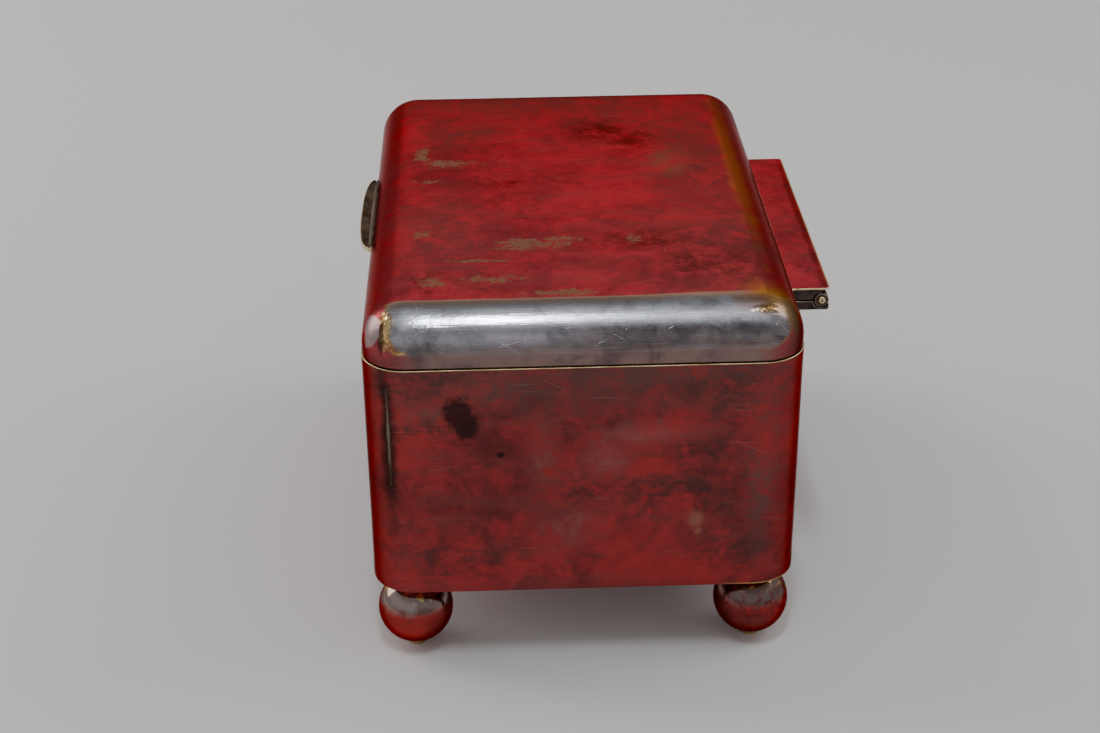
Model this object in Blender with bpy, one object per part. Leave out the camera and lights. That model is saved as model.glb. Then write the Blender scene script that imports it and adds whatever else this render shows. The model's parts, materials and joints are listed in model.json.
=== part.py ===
"""A hinged table box of silver-plated sheet brass on four ball feet, lined with cedar.

+Z is up, X runs along the box's length, the thumbpiece is at -Y and the hinge at +Y.
The origin is on the surface that the box stands on, under the middle of its outer box.
"""

import math

import bmesh
import bpy
from mathutils import Matrix, Vector

MM = 0.001

# Body and lid, outside
BODY_LENGTH = 132 * MM
BODY_DEPTH = 90 * MM
BODY_HEIGHT = 53 * MM
LID_HEIGHT = 11.3 * MM
CORNER_RADIUS = 9.3 * MM
SHOULDER_RADIUS = 8.9 * MM
SHEET = 0.9 * MM
LID_INSET = 0.2 * MM
RIM_CHAMFER = 0.25 * MM

# Clearances: SEAT is left where pieces rest on each other, SOLDER where they are joined
SEAT = 0.3 * MM
SOLDER = 0.1 * MM

# Feet, each a ball with a short neck on a rivet that goes up through the base
BALL_RADIUS = 8.1 * MM
BALL_DROP = 8.8 * MM
FOOT_INSET = 8.6 * MM
NECK_RADIUS = 3.4 * MM
RIVET_DISC_RADIUS = 2.4 * MM
RIVET_DISC_DROP = 0.8 * MM
RIVET_RADIUS = 1.1 * MM
RIVET_HEAD_RADIUS = 2.2 * MM
RIVET_HEAD_HEIGHT = 0.8 * MM
RIVET_BORE = 1.3 * MM

# Hinge, which stands away from the back wall
HINGE_LENGTH = 73.6 * MM
HINGE_REACH = 8.6 * MM
PIN_OUT = 6.9 * MM
PIN_BELOW_SEAM = 0.85 * MM
PIN_RADIUS = 0.85 * MM
PIN_PROUD = 0.25 * MM
KNUCKLE_BORE = 0.9 * MM
KNUCKLE_RADIUS = 1.57 * MM
KNUCKLE_COUNT = 5
KNUCKLE_GAP = 0.15 * MM
CHANNEL_RADIUS = 1.82 * MM
LEAF_GAP = 0.3 * MM
LOWER_LEAF_LIP = 1.6 * MM
LOWER_LEAF_BELOW_PIN = 2.2 * MM
LEAF_CHAMFER = 0.3 * MM
PLATE_ABOVE_SEAM = 2 * MM
PLATE_THICKNESS = 0.45 * MM
PLATE_CORNER = 1.1 * MM

# Thumbpiece, a dished crescent on the lid's front shoulder
THUMB_LENGTH = 38 * MM
THUMB_REACH = 2.4 * MM
THUMB_ABOVE_SEAM = 5.4 * MM
THUMB_HALF_THICKNESS = 0.65 * MM
THUMB_DISH = 0.35 * MM
THUMB_ROUNDING = 2.6

# Cedar lining, which stands above the rim to guide the lid
LINING_FIT = 0.5 * MM
BOARD = 2 * MM
FLOOR_BOARD = 1.6 * MM
LINING_ABOVE_SEAM = 2.4 * MM
DIVIDER_BELOW_SEAM = 3 * MM

# Facets
CORNER_STEPS = 8
SHOULDER_STEPS = 7
BALL_SIDES = 20
BALL_STEPS = 9
ROD_SIDES = 20
CHANNEL_STEPS = 8
THUMB_STATIONS = 16
SHARP_ANGLE = math.radians(35)

# Places that follow from the sizes
BASE_Z = BALL_DROP + BALL_RADIUS + RIVET_DISC_DROP
SEAM_Z = BASE_Z + BODY_HEIGHT
BODY_Y = (THUMB_REACH - HINGE_REACH) / 2
BACK_Y = BODY_Y + BODY_DEPTH / 2
HALF_LENGTH = BODY_LENGTH / 2
HALF_DEPTH = BODY_DEPTH / 2
PIN = Vector((0, BACK_Y + PIN_OUT, SEAM_Z - PIN_BELOW_SEAM))
WALL_FROM_PIN = -PIN_OUT
FLOOR_Z = BASE_Z + SHEET + SOLDER + RIVET_HEAD_HEIGHT + SEAT
BOARDS_Z = FLOOR_Z + FLOOR_BOARD + SEAT

SILVER = ((0.42, 0.37, 0.34), 0.28, 1.0)
BRASS = ((0.62, 0.47, 0.22), 0.35, 1.0)
DARK_BRASS = ((0.16, 0.12, 0.09), 0.45, 1.0)
CEDAR = ((0.36, 0.17, 0.08), 0.6, 0.0)


def clear_scene():
    for thing in list(bpy.data.objects):
        bpy.data.objects.remove(thing)


def finish(name, look):
    """The material of one piece: its colour, roughness and metallic value."""
    colour, roughness, metallic = look
    material = bpy.data.materials.new(name)
    material.use_nodes = True
    shader = material.node_tree.nodes["Principled BSDF"]
    shader.inputs["Base Color"].default_value = (*colour, 1)
    shader.inputs["Roughness"].default_value = roughness
    shader.inputs["Metallic"].default_value = metallic
    return material


def add_piece(name, vertices, faces, look, location, parent=None):
    """A named object at a world location, with its faces turned outwards."""
    mesh = bpy.data.meshes.new(name)
    mesh.from_pydata(vertices, [], faces)
    shape = bmesh.new()
    shape.from_mesh(mesh)
    bmesh.ops.recalc_face_normals(shape, faces=shape.faces)
    shape.to_mesh(mesh)
    shape.free()
    mesh.materials.append(finish(name, look))
    mesh.shade_smooth()
    mesh.set_sharp_from_angle(angle=SHARP_ANGLE)
    piece = bpy.data.objects.new(name, mesh)
    bpy.context.collection.objects.link(piece)
    piece.location = Vector(location)
    if parent:
        piece.parent = parent
        piece.location -= parent.location
    return piece


def skin(rings, looped=False):
    """Vertices and faces of a surface through rings of equal count, capped unless it loops."""
    count = len(rings[0])
    vertices = [point for ring in rings for point in ring]
    pairs = list(zip(range(len(rings)), range(1, len(rings))))
    if looped:
        pairs.append((len(rings) - 1, 0))
    faces = []
    for low, high in pairs:
        for side in range(count):
            after = (side + 1) % count
            faces.append((low * count + side, low * count + after, high * count + after, high * count + side))
    if not looped:
        faces.append(tuple(range(count)))
        faces.append(tuple((len(rings) - 1) * count + side for side in range(count)))
    return vertices, faces


def arc(centre, radius, start, end, steps):
    """Points on an arc in a plane, both ends included."""
    angles = [start + (end - start) * step / steps for step in range(steps + 1)]
    return [(centre[0] + radius * math.cos(a), centre[1] + radius * math.sin(a)) for a in angles]


def rounded_rectangle(half_x, half_y, radius, steps=CORNER_STEPS):
    """The outline's points, anticlockwise from the +X side."""
    outline = []
    for corner, (sign_x, sign_y) in enumerate(((1, 1), (-1, 1), (-1, -1), (1, -1))):
        centre = (sign_x * (half_x - radius), sign_y * (half_y - radius))
        start = corner * math.pi / 2
        outline += arc(centre, radius, start, start + math.pi / 2, steps)
    return outline


def box_ring(inset, z):
    """The body's outline drawn in by inset, at height z."""
    outline = rounded_rectangle(HALF_LENGTH - inset, HALF_DEPTH - inset, CORNER_RADIUS - inset)
    return [(x, y, z) for x, y in outline]


def turned(profile, sides, looped=False):
    """A surface turned about Z from (radius, z) pairs."""
    rings = []
    for radius, z in profile:
        angles = [2 * math.pi * side / sides for side in range(sides)]
        rings.append([(radius * math.cos(a), radius * math.sin(a), z) for a in angles])
    return skin(rings, looped)


def prism(section, axis, start, end):
    """A section given across an axis, drawn from start to end along it."""
    if axis == "X":
        rings = [[(along, a, b) for a, b in section] for along in (start, end)]
    else:
        rings = [[(a, b, along) for a, b in section] for along in (start, end)]
    return skin(rings)


def add_body_wall():
    rings = [
        box_ring(SHEET, 0),
        box_ring(0, 0),
        box_ring(0, BODY_HEIGHT - RIM_CHAMFER),
        box_ring(RIM_CHAMFER, BODY_HEIGHT),
        box_ring(SHEET, BODY_HEIGHT),
    ]
    add_piece("body_wall", *skin(rings, looped=True), SILVER, (0, BODY_Y, BASE_Z))


def foot_places():
    """(name, x, y) of each foot's axis."""
    reach_x = HALF_LENGTH - FOOT_INSET
    reach_y = HALF_DEPTH - FOOT_INSET
    return [
        ("front_left", -reach_x, BODY_Y - reach_y),
        ("front_right", reach_x, BODY_Y - reach_y),
        ("back_left", -reach_x, BODY_Y + reach_y),
        ("back_right", reach_x, BODY_Y + reach_y),
    ]


def add_cutter(name, radius, height, location):
    """A hidden cylinder centred on location."""
    profile = [(radius, -height / 2), (radius, height / 2)]
    cutter = add_piece(name, *turned(profile, ROD_SIDES), BRASS, location)
    cutter.hide_render = True
    cutter.display_type = "WIRE"
    return cutter


def add_base_plate():
    inset = SHEET + SOLDER
    rings = [box_ring(inset, 0), box_ring(inset, SHEET)]
    plate = add_piece("base_plate", *skin(rings), SILVER, (0, BODY_Y, BASE_Z))
    for name, x, y in foot_places():
        cut = plate.modifiers.new("rivet_hole_" + name, "BOOLEAN")
        cut.object = add_cutter("cut_" + name, RIVET_BORE, 4 * SHEET, (x, y, BASE_Z))


def ball_profile():
    """(radius, z) round a bored ball, from the top of its neck down the outside and up the bore."""
    neck_top = BALL_DROP - SEAT
    first = math.asin(math.sqrt(BALL_RADIUS**2 - NECK_RADIUS**2) / BALL_RADIUS)
    last = -math.acos((RIVET_DISC_RADIUS + SOLDER) / BALL_RADIUS)
    outside = arc((0, 0), BALL_RADIUS, first, last, BALL_STEPS)
    return [(NECK_RADIUS, neck_top), *outside, (RIVET_BORE, outside[-1][1]), (RIVET_BORE, neck_top)]


def rivet_profile():
    """(radius, z) of a foot's rivet from its bottom disc to its head above the base."""
    disc_low = -BALL_RADIUS - RIVET_DISC_DROP
    disc_high = ball_profile()[-2][1] - SOLDER
    head_low = BALL_DROP + SHEET + SOLDER
    return [
        (RIVET_DISC_RADIUS, disc_low),
        (RIVET_DISC_RADIUS, disc_high),
        (RIVET_RADIUS, disc_high),
        (RIVET_RADIUS, head_low),
        (RIVET_HEAD_RADIUS, head_low),
        (RIVET_HEAD_RADIUS * 0.7, head_low + RIVET_HEAD_HEIGHT),
    ]


def add_feet():
    for name, x, y in foot_places():
        centre = (x, y, BASE_Z - BALL_DROP)
        add_piece("foot_ball_" + name, *turned(ball_profile(), BALL_SIDES, looped=True), SILVER, centre)
        add_piece("foot_rivet_" + name, *turned(rivet_profile(), ROD_SIDES), BRASS, centre)


def lid_surface(thickness):
    """Rings of the lid's outside, or of its inside at a sheet thickness, from the seam upwards."""
    inset = LID_INSET + thickness
    radius = SHOULDER_RADIUS - thickness
    shoulder_z = LID_HEIGHT - SHOULDER_RADIUS
    rings = [box_ring(inset, SEAT)]
    for out, up in arc((0, 0), radius, 0, math.pi / 2, SHOULDER_STEPS):
        rings.append(box_ring(inset + radius - out, shoulder_z + up))
    return rings


def add_lid_shell(hinge):
    rings = lid_surface(SHEET)[::-1] + lid_surface(0)
    add_piece("lid_shell", *skin(rings), SILVER, (0, BODY_Y, SEAM_Z), hinge)


def thumb_section(reach):
    """(y, z) across the thumbpiece for a reach in front of the lid, from its low root round to its high one."""
    shoulder_z = LID_HEIGHT - SHOULDER_RADIUS
    root = []
    for level in (-1, 0, 1):
        z = THUMB_ABOVE_SEAM + level * THUMB_HALF_THICKNESS
        drawn_in = SHOULDER_RADIUS - math.sqrt(SHOULDER_RADIUS**2 - (z - shoulder_z) ** 2)
        root.append((LID_INSET + drawn_in - SOLDER, z))
    middle = THUMB_ABOVE_SEAM
    rim = THUMB_HALF_THICKNESS * 0.6
    outer = [
        (-reach * 0.6, middle - THUMB_HALF_THICKNESS * 0.8),
        (-reach * 0.95, middle - rim),
        (-reach, middle - rim / 2),
        (-reach, middle + rim / 2),
        (-reach * 0.9, middle + rim),
        (-reach * 0.5, middle + THUMB_HALF_THICKNESS - THUMB_DISH),
        (-reach * 0.1, middle + THUMB_HALF_THICKNESS * 0.8),
    ]
    return [(-HALF_DEPTH + y, z) for y, z in outer + root[::-1]]


def add_thumbpiece(hinge):
    """A crescent in plan: its reach falls to nearly nothing at both ends."""
    rings = []
    for station in range(THUMB_STATIONS + 1):
        along = math.cos(math.pi * station / THUMB_STATIONS)
        reach = THUMB_REACH * max(0.12, (1 - abs(along) ** THUMB_ROUNDING) ** (1 / THUMB_ROUNDING))
        rings.append([(along * THUMB_LENGTH / 2, y, z) for y, z in thumb_section(reach)])
    add_piece("thumbpiece", *skin(rings), SILVER, (0, BODY_Y, SEAM_Z), hinge)


def add_lower_leaf():
    """The bar on the body's back wall, hollowed under the knuckles."""
    top = -LEAF_GAP / 2
    bottom = -LOWER_LEAF_BELOW_PIN
    wall = WALL_FROM_PIN + SOLDER
    start = math.pi + math.asin(-top / CHANNEL_RADIUS)
    end = 2 * math.pi - math.acos(LOWER_LEAF_LIP / CHANNEL_RADIUS)
    section = [(wall, top)]
    section += arc((0, 0), CHANNEL_RADIUS, start, end, CHANNEL_STEPS)
    section += [(LOWER_LEAF_LIP, bottom + LEAF_CHAMFER), (LOWER_LEAF_LIP - LEAF_CHAMFER, bottom), (wall, bottom)]
    half = HINGE_LENGTH / 2
    add_piece("hinge_lower_leaf", *prism(section, "X", -half, half), DARK_BRASS, PIN)


def add_upper_leaf(hinge):
    """The bar on the lid's back wall, hollowed over the knuckles."""
    bottom = LEAF_GAP / 2
    top = PLATE_ABOVE_SEAM + PIN_BELOW_SEAM - PLATE_THICKNESS - SOLDER
    wall = WALL_FROM_PIN + SOLDER + LID_INSET
    start = math.pi - math.asin(bottom / CHANNEL_RADIUS)
    section = [(wall, bottom)]
    section += arc((0, 0), CHANNEL_RADIUS, start, math.pi / 2, CHANNEL_STEPS)
    section += [(0, top), (wall, top)]
    half = HINGE_LENGTH / 2
    add_piece("hinge_upper_leaf", *prism(section, "X", -half, half), DARK_BRASS, PIN, hinge)


def add_cover_plate(hinge):
    """The thin plate over the upper leaf, with its two outer corners rounded."""
    wall = WALL_FROM_PIN + SOLDER + LID_INSET
    edge = HINGE_REACH - PIN_OUT
    half = HINGE_LENGTH / 2
    outline = [(-half, wall), (half, wall)]
    outline += arc((half - PLATE_CORNER, edge - PLATE_CORNER), PLATE_CORNER, 0, math.pi / 2, CHANNEL_STEPS)
    outline += arc((PLATE_CORNER - half, edge - PLATE_CORNER), PLATE_CORNER, math.pi / 2, math.pi, CHANNEL_STEPS)
    top = PLATE_ABOVE_SEAM + PIN_BELOW_SEAM
    add_piece("hinge_cover_plate", *prism(outline, "Z", top - PLATE_THICKNESS, top), SILVER, PIN, hinge)


def lay_along_x(piece):
    """Turns a mesh that was made along Z, so that it runs along X."""
    piece.data.transform(Matrix.Rotation(math.pi / 2, 4, "Y"))


def add_knuckles(hinge):
    """Tubes along the pin, which belong to the lower and the upper leaf in turn."""
    pitch = HINGE_LENGTH / KNUCKLE_COUNT
    half = (pitch - KNUCKLE_GAP) / 2
    profile = [
        (KNUCKLE_BORE, half),
        (KNUCKLE_RADIUS, half),
        (KNUCKLE_RADIUS, -half),
        (KNUCKLE_BORE, -half),
    ]
    for place in range(KNUCKLE_COUNT):
        of_lid = place % 2 == 1
        name = f"hinge_{'upper' if of_lid else 'lower'}_knuckle_{place + 1}"
        centre = PIN + Vector(((place + 0.5) * pitch - HINGE_LENGTH / 2, 0, 0))
        shape = turned(profile, ROD_SIDES, looped=True)
        lay_along_x(add_piece(name, *shape, DARK_BRASS, centre, hinge if of_lid else None))


def add_hinge_pin():
    half = HINGE_LENGTH / 2 + PIN_PROUD
    chamfer = PIN_RADIUS / 4
    profile = [
        (PIN_RADIUS - chamfer, -half),
        (PIN_RADIUS, chamfer - half),
        (PIN_RADIUS, half - chamfer),
        (PIN_RADIUS - chamfer, half),
    ]
    lay_along_x(add_piece("hinge_pin", *turned(profile, ROD_SIDES), BRASS, PIN))


def lining_half(axis):
    return (HALF_LENGTH if axis == "X" else HALF_DEPTH) - SHEET - LINING_FIT


def lining_radius():
    return CORNER_RADIUS - SHEET - LINING_FIT


def board_outline(reach, across):
    """A board's plan: straight inside, and rounded outside to clear the metal's corners.

    reach is where its outer face is, and across is half the lining's size along the board.
    """
    radius = lining_radius()
    turn = math.acos((radius - BOARD) / radius)
    centre = (across - radius, reach - radius)
    right = arc(centre, radius, math.pi / 2 - turn, math.pi / 2, CORNER_STEPS)
    left = [(-x, y) for x, y in reversed(right)]
    return right + left


def add_lining():
    radius = lining_radius()
    half_x = lining_half("X")
    half_y = lining_half("Y")
    floor = rounded_rectangle(half_x, half_y, radius)
    add_piece("lining_floor", *prism(floor, "Z", 0, FLOOR_BOARD), CEDAR, (0, BODY_Y, FLOOR_Z))
    height = SEAM_Z + LINING_ABOVE_SEAM - BOARDS_Z
    sides = (
        ("lining_back", half_y, half_x, 0),
        ("lining_left", half_x, half_y, math.pi / 2),
        ("lining_front", half_y, half_x, math.pi),
        ("lining_right", half_x, half_y, -math.pi / 2),
    )
    for name, reach, across, turn in sides:
        shape = prism(board_outline(reach, across), "Z", 0, height)
        board = add_piece(name, *shape, CEDAR, (0, BODY_Y, BOARDS_Z))
        board.data.transform(Matrix.Rotation(turn, 4, "Z"))


def add_divider():
    half_y = lining_half("Y") - BOARD - SEAT
    half_x = BOARD / 2
    outline = [(-half_x, -half_y), (half_x, -half_y), (half_x, half_y), (-half_x, half_y)]
    height = SEAM_Z - DIVIDER_BELOW_SEAM - BOARDS_Z
    add_piece("lining_divider", *prism(outline, "Z", 0, height), CEDAR, (0, BODY_Y, BOARDS_Z))


def add_hinge_axis():
    """The empty that carries the lid and all that turns with it."""
    hinge = bpy.data.objects.new("lid_hinge_axis", None)
    bpy.context.collection.objects.link(hinge)
    hinge.location = PIN
    return hinge


def main():
    clear_scene()
    hinge = add_hinge_axis()
    add_body_wall()
    add_base_plate()
    add_feet()
    add_lining()
    add_divider()
    add_lower_leaf()
    add_knuckles(hinge)
    add_hinge_pin()
    add_upper_leaf(hinge)
    add_cover_plate(hinge)
    add_lid_shell(hinge)
    add_thumbpiece(hinge)


main()
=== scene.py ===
"""The looks of the table box: fine meshes and worn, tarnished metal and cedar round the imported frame."""

import json
import math

import bmesh
import bpy
from mathutils import Matrix, Vector, noise

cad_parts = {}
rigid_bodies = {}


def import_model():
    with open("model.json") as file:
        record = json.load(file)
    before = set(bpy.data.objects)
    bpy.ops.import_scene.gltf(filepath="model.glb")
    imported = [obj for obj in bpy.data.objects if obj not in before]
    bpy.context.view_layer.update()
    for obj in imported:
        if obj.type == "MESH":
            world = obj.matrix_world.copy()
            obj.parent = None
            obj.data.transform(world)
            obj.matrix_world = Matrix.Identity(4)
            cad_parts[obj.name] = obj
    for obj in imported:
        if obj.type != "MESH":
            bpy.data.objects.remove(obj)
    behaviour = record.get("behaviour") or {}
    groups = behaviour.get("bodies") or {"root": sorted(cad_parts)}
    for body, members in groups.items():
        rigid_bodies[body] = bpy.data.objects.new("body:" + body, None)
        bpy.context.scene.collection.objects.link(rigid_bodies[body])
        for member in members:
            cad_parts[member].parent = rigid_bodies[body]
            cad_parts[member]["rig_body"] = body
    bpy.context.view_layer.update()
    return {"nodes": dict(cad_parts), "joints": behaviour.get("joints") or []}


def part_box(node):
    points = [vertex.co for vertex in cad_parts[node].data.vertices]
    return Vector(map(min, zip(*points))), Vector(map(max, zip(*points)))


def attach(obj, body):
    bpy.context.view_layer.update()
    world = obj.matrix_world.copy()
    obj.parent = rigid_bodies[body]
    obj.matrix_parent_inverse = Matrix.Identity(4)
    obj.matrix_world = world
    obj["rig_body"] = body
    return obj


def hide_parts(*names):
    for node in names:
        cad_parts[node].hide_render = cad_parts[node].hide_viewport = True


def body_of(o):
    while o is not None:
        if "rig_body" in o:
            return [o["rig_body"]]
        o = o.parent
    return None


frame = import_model()

MM = 0.001

# Shapes of the frame that its boxes don't give
CORNER_RADIUS = 9.3 * MM
SHOULDER_RADIUS = 8.9 * MM
SHEET = 0.9 * MM
NECK_RADIUS = 3.4 * MM
RIVET_BORE = 1.3 * MM
RIVET_RADIUS = 1.1 * MM
DISC_DROP = 0.8 * MM
HEAD_HEIGHT = 0.8 * MM
KNUCKLE_BORE = 0.9 * MM

# Fine shapes that the CAD model leaves out
ARRIS_ANGLE = math.radians(30)
DISC_ROUND = 0.25 * MM
KNUCKLE_ROUND = 0.16 * MM
THUMB_HALF = 0.65 * MM
THUMB_INNER = 0.25 * MM
THUMB_DISHED = 0.86
THUMB_SQUARENESS = 2.6
THUMB_LEAST_REACH = 0.12

# Fineness of the meshes
TURNED_SIDES = 48
BALL_SIDES = 72
BALL_STEPS = 40
THUMB_STATIONS = 48
THUMB_STEPS = 12
CORNER_STEPS = 20
SHOULDER_STEPS = 22
TOP_STEPS = 18
SIDE_PITCH = 2 * MM
RIM_ROUND = 0.16 * MM
FOOT_ROUND = 0.15 * MM

# Rubbed sheet is never quite flat: depth and size of its hollows
WAVE_DEPTH = 0.09 * MM
WAVE_SIZE = 24 * MM

# Places that follow from the frame
WALL_LOW, WALL_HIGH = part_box("body_wall")
LID_LOW, LID_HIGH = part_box("lid_shell")
MIDDLE_Y = (WALL_LOW.y + WALL_HIGH.y) / 2
FLAT_X = LID_HIGH.x - SHOULDER_RADIUS
FLAT_Y = LID_HIGH.y - MIDDLE_Y - SHOULDER_RADIUS
SHOULDER_Z = LID_HIGH.z - SHOULDER_RADIUS
PIN = Vector(frame["joints"][0]["pos_m"])

# How deep a mark's spot reaches into the lid's top and into the end face
TOP_DEPTH = 3 * MM
END_DEPTH = 4 * MM

# The silver, its tarnish and its stains, and the colours of painted shade, highlights and reflections
# SILVER's blue tint is a painted reflection.
SILVER = (0.60, 0.61, 0.65, 1)
SILVER_DULL = (0.30, 0.29, 0.31, 1)
OLIVE = (0.36, 0.225, 0.15, 1)
MAUVE = (0.24, 0.165, 0.15, 1)
MAUVE_DARK = (0.11, 0.08, 0.085, 1)
BROWN = (0.27, 0.080, 0.082, 1)
BLOTCH_AND_DARK_REFLECTION = (0.022, 0.014, 0.013, 1)
SHADE = (0.075, 0.036, 0.035, 1)
PALE = (0.40, 0.13, 0.12, 1)
TOP_SHADE = (0.12, 0.058, 0.055, 1)
STAIN = (0.34, 0.19, 0.12, 1)
OCHRE = (0.46, 0.25, 0.065, 1)
BRASS = (0.85, 0.60, 0.24, 1)
BRASS_DULL = (0.36, 0.20, 0.06, 1)
AMBER_AND_SHEEN = (0.42, 0.155, 0.075, 1)
SCRATCH = (0.75, 0.50, 0.45, 1)
RUB = (0.85, 0.86, 0.90, 1)
DIM_REFLECTION = (0.26, 0.21, 0.21, 1)
DIM_REFLECTION_DARK = (0.12, 0.09, 0.10, 1)
PALE_REFLECTION = (0.52, 0.49, 0.54, 1)
PALE_REFLECTION_DARK = (0.26, 0.24, 0.27, 1)
SHOULDER_SHADE = (0.10, 0.093, 0.105, 1)
CORNER_SHADE = (0.07, 0.042, 0.038, 1)
GLINT_SHADE = (0.14, 0.105, 0.065, 1)
WINDOW_REFLECTION = (0.36, 0.265, 0.265, 1)
BROWN_FLECKS = (0.15, 0.085, 0.08, 1)
GREY = (0.15, 0.082, 0.076, 1)
RED_REFLECTION = (0.40, 0.035, 0.035, 1)
COPPERY = (0.36, 0.19, 0.11, 1)
CORNER_LINE = (0.30, 0.26, 0.19, 1)

# The film's bright, dark and thin tones: tarnish with a painted red reflection in them
LID_FILM_AND_REFLECTION = ((0.50, 0.068, 0.083, 1), (0.24, 0.060, 0.068, 1), (0.27, 0.088, 0.088, 1))
WALL_FILM_AND_REFLECTION = ((0.35, 0.040, 0.042, 1), (0.12, 0.028, 0.030, 1), (0.18, 0.052, 0.050, 1))
BALL_FILM_AND_REFLECTION = ((0.43, 0.040, 0.038, 1), (0.16, 0.026, 0.026, 1), (0.22, 0.055, 0.050, 1))
CAP = (0.28, 0.25, 0.22, 1)
CAP_DULL_AND_SHADE = (0.15, 0.12, 0.11, 1)
# Pink tint of grazing reflections: a painted red reflection
GRAZING_TINT = (0.5, 0.28, 0.27, 1)
METAL_TINT = (0.5, 0.46, 0.43, 1)

# Metals without a film: light and dark colour, roughness and the size of their clouds
PLAIN_METALS = {
    "inner_plate": ((0.55, 0.50, 0.42, 1), (0.25, 0.19, 0.14, 1), 0.3, 14 * MM),
    "worn_brass": (BRASS, (0.42, 0.26, 0.09, 1), 0.22, 3 * MM),
    "dark_brass": ((0.075, 0.055, 0.045, 1), (0.022, 0.016, 0.014, 1), 0.28, 3 * MM),
    "worn_arris": ((0.86, 0.70, 0.42, 1), (0.45, 0.30, 0.13, 1), 0.25, 5 * MM),
    "rubbed_arris": ((0.40, 0.34, 0.28, 1), (0.12, 0.09, 0.07, 1), 0.25, 4 * MM),
    # The thumbpiece's dark dish is painted shade and its light ridge a painted highlight
    "thumb_dish_shade": ((0.12, 0.085, 0.068, 1), (0.045, 0.030, 0.025, 1), 0.25, 4 * MM),
    "thumb_ridge_highlight": ((0.34, 0.27, 0.20, 1), (0.20, 0.15, 0.11, 1), 0.25, 5 * MM),
    "rim_brass": ((0.78, 0.64, 0.36, 1), (0.44, 0.31, 0.14, 1), 0.25, 9 * MM),
}

CEDAR_LIGHT = (0.47, 0.225, 0.10, 1)
CEDAR_DARK = (0.27, 0.105, 0.045, 1)
CEDAR_PALE = (0.54, 0.31, 0.16, 1)
CEDAR_PORE = (0.12, 0.05, 0.025, 1)
CEDAR_GRAIN_LENGTH = 55 * MM
CEDAR_GRAIN_WIDTH = 1.8 * MM
FLOOR = (0.74, 0.72, 0.70, 1)
FLOOR_REACH = 3

# The camera, in metres, millimetres of film and degrees
CAMERA_PLACE = (0.40356, -0.02117, 0.25104)
CAMERA_LENS = 63.1
CAMERA_FILM = 36
CAMERA_DOWN = 28.05
CAMERA_ASIDE = 1.864
CAMERA_ROLL = -0.539

# Soft boxes: place, width, height, power and colour. All of them face the target.
LIGHT_TARGET = (0.03, 0, 0.07)
SOFTBOXES = {
    "key": ((0.32, -0.03, 1.04), 0.06, 0.24, 2.1, (0.88, 0.93, 1)),
    "fill": ((-0.2, 1.1, 1.1), 0.6, 0.6, 3.5, (1, 1, 1)),
    "glint": ((-0.21, -0.68, 0.99), 0.14, 0.14, 0.9, (1, 0.95, 0.85)),
    "left": ((-0.40, -0.80, 0.40), 0.56, 0.5, 2.6, (1, 0.92, 0.90)),
    "back": ((-1.35, -0.05, 0.66), 0.9, 0.5, 0.6, (1, 0.98, 0.97)),
    "right": ((0.06, 0.55, 0.95), 0.2, 0.2, 0.3, (1, 0.96, 0.88)),
}
WORLD_COLOUR = (0.96, 0.98, 1, 1)
GLOW_WAY = (0.17, 0, 0.985)


# ---------------------------------------------------------------- meshes


def clean_mesh(name, vertices, faces):
    """A mesh with its faces turned outwards."""
    mesh = bpy.data.meshes.new(name)
    mesh.from_pydata(vertices, [], faces)
    shape = bmesh.new()
    shape.from_mesh(mesh)
    bmesh.ops.recalc_face_normals(shape, faces=shape.faces)
    shape.to_mesh(mesh)
    shape.free()
    return mesh


def add_piece(node_name, mesh, materials, sharp=35):
    """A piece that stands for one CAD node and rides on its body."""
    piece = bpy.data.objects.new(node_name + "_fine", mesh)
    bpy.context.scene.collection.objects.link(piece)
    for material in materials:
        mesh.materials.append(material)
    mesh.shade_smooth()
    mesh.set_sharp_from_angle(angle=math.radians(sharp))
    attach(piece, body_of(frame["nodes"][node_name])[0])
    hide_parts(node_name)
    return piece


def skin(rings, looped=False):
    """Vertices and faces of a surface through rings of equal count, capped unless it loops."""
    count = len(rings[0])
    vertices = [tuple(point) for ring in rings for point in ring]
    pairs = list(zip(range(len(rings)), range(1, len(rings))))
    if looped:
        pairs.append((len(rings) - 1, 0))
    faces = []
    for low, high in pairs:
        base, over = low * count, high * count
        for side in range(count):
            after = (side + 1) % count
            faces.append((base + side, base + after, over + after, over + side))
    if not looped:
        faces.append(tuple(range(count)))
        faces.append(tuple((len(rings) - 1) * count + side for side in range(count)))
    return vertices, faces


def arc(centre, radius, start, end, steps):
    """Points on an arc in a plane, both ends included."""
    angles = [start + (end - start) * step / steps for step in range(steps + 1)]
    return [(centre[0] + radius * math.cos(a), centre[1] + radius * math.sin(a)) for a in angles]


def divided(start, end, parts):
    """The points that divide a line into parts, its ends left out."""
    return [start.lerp(end, step / parts) for step in range(1, parts)]


def box_ring(half_x, half_y, radius, z):
    """A ring round the box at height z: four corner arcs, and sides divided at about the pitch."""
    parts_x = round((WALL_HIGH.x - WALL_LOW.x) / SIDE_PITCH)
    parts_y = round((WALL_HIGH.y - WALL_LOW.y) / SIDE_PITCH)
    corners = []
    for quarter, (sign_x, sign_y) in enumerate(((1, 1), (-1, 1), (-1, -1), (1, -1))):
        centre = (sign_x * (half_x - radius), MIDDLE_Y + sign_y * (half_y - radius))
        start = quarter * math.pi / 2
        turn = arc(centre, radius, start, start + math.pi / 2, CORNER_STEPS)
        corners.append([Vector((x, y, z)) for x, y in turn])
    ring = []
    for quarter, corner in enumerate(corners):
        parts = parts_y if quarter % 2 else parts_x
        ring += corner + divided(corner[-1], corners[(quarter + 1) % 4][0], parts)
    return ring


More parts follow.
